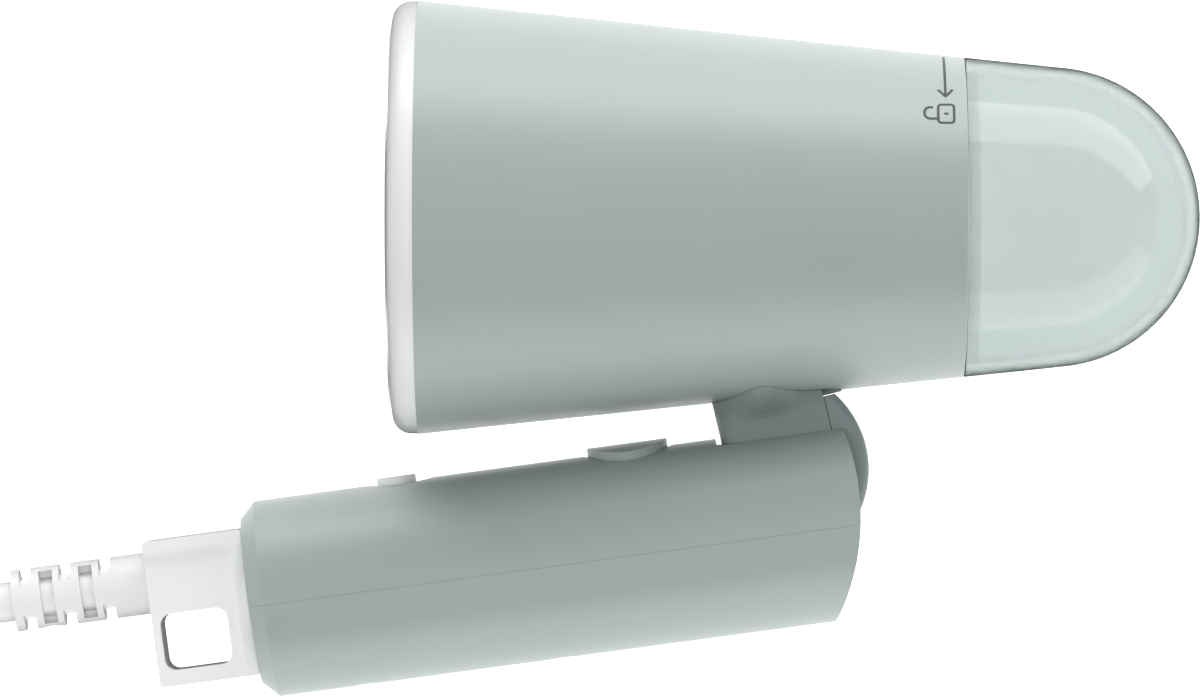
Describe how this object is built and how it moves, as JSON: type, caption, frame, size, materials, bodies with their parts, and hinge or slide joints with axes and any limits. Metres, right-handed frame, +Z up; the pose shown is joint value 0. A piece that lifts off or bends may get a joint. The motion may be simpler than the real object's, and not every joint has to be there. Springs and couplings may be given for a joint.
{
  "type": "handheld garment steamer",
  "caption": "Folding travel garment steamer: cone-shaped heated head with a clear domed water tank, folded round handle with trigger and button, mains cord with plug.",
  "frame": {"origin": "on the floor, under the middle of the steamer's box measured without its cord", "axes": "+X along the head's axis from the steam plate to the tank, +Y from the folded handle towards the head, +Z up, along the fold axis"},
  "size_m": [0.3737, 0.1218, 0.0759],
  "materials": {
    "sage_shell": "fine spark-eroded satin",
    "sage_dark": "fine spark-eroded satin",
    "white_plastic": "semi gloss",
    "clear_tank": "clear smoky polycarbonate",
    "alloy": "satin cast and machined",
    "steel": "zinc plated",
    "heater_sheath": "oxidised sheath",
    "silicone": "matt silicone",
    "white_rubber": "soft matt",
    "cord_white": "smooth cable jacket",
    "wire_grey": "insulation",
    "black_plastic": "moulded",
    "ivory_plastic": "moulded",
    "copper_winding": "enamelled copper",
    "board_green": "solder mask",
    "tie_grey": "hook and loop strap"
  },
  "bodies": {
    "head": {"head_shell": "sage_shell", "front_ring": "white_plastic", "steam_plate": "alloy", "plate_gasket": "silicone", "steam_chamber": "alloy", "chamber_cover": "alloy", "heating_element": "heater_sheath", "thermostat": "black_plastic", "thermal_fuse": "steel", "chamber_screws": "steel", "heat_shield": "steel", "pump_body": "ivory_plastic", "pump_coil": "copper_winding", "pump_yoke": "steel", "pump_spring": "steel", "pump_bracket": "black_plastic", "outlet_hose": "silicone", "inlet_hose": "silicone", "tank_receiver": "black_plastic", "docking_seal": "silicone", "neck_arm": "sage_dark", "neck_cap": "sage_dark", "neck_nut": "steel", "head_wires": "wire_grey", "hinge_washers": "white_plastic"},
    "pump_piston": {"pump_plunger": "steel"},
    "tank_lock": {"lock_ring": "black_plastic"},
    "tank": {"tank_bowl": "clear_tank", "tank_collar": "clear_tank"},
    "cap": {"tank_cap": "white_plastic", "tank_seal": "silicone", "valve_spring": "steel"},
    "tank_valve": {"valve_plunger": "alloy"},
    "handle": {"hinge_pin": "steel", "handle_upper": "sage_shell", "handle_lower": "sage_shell", "handle_screws": "steel", "circuit_board": "board_green", "trigger_switch": "black_plastic", "power_switch": "black_plastic", "trigger_spring": "steel", "handle_wires": "wire_grey", "cord_connector": "white_plastic", "cord_clamp": "black_plastic", "strain_relief": "white_rubber", "cord_inner": "cord_white", "cord_lead": "cord_white", "cord_coil": "cord_white", "cord_tail": "cord_white", "cable_tie": "tie_grey", "plug_body": "white_plastic", "plug_pins": "steel"},
    "trigger": {"steam_trigger": "sage_shell"},
    "button": {"power_button": "white_plastic"}
  },
  "joints": [
    {"name": "handle_fold", "type": "hinge", "parent": "head", "child": "handle", "pos_m": [0.03399, -0.03124, 0.03795], "axis": [0, 0, 1], "range_deg": [0, 96]},
    {"name": "steam_trigger_press", "type": "slide", "parent": "handle", "child": "trigger", "axis": [0.134, -0.991, 0], "range_m": [0, 0.002], "stiffness_N_per_m": 900, "springref_m": -0.001, "deforming": ["trigger_spring"]},
    {"name": "power_button_press", "type": "slide", "parent": "handle", "child": "button", "axis": [0.134, -0.991, 0], "range_m": [0, 0.001], "stiffness_N_per_m": 1500, "springref_m": -0.0008},
    {"name": "tank_turn", "type": "hinge", "parent": "head", "child": "tank_lock", "pos_m": [0.05749, 0.02296, 0.03795], "axis": [1, 0, 0], "range_deg": [0, 50]},
    {"name": "tank_pull", "type": "slide", "parent": "tank_lock", "child": "tank", "axis": [1, 0, 0], "range_m": [0, 0.06]},
    {"name": "cap_turn", "type": "hinge", "parent": "tank", "child": "cap", "pos_m": [0.05549, 0.02296, 0.03795], "axis": [1, 0, 0], "range_deg": [0, 60]},
    {"name": "valve_open", "type": "slide", "parent": "cap", "child": "tank_valve", "axis": [1, 0, 0], "range_m": [0, 0.0015], "stiffness_N_per_m": 300, "springref_m": -0.001, "deforming": ["valve_spring"]},
    {"name": "pump_stroke", "type": "slide", "parent": "head", "child": "pump_piston", "axis": [-1, 0, 0], "range_m": [0, 0.002], "stiffness_N_per_m": 500, "springref_m": -0.001, "deforming": ["pump_spring"]}
  ]
}
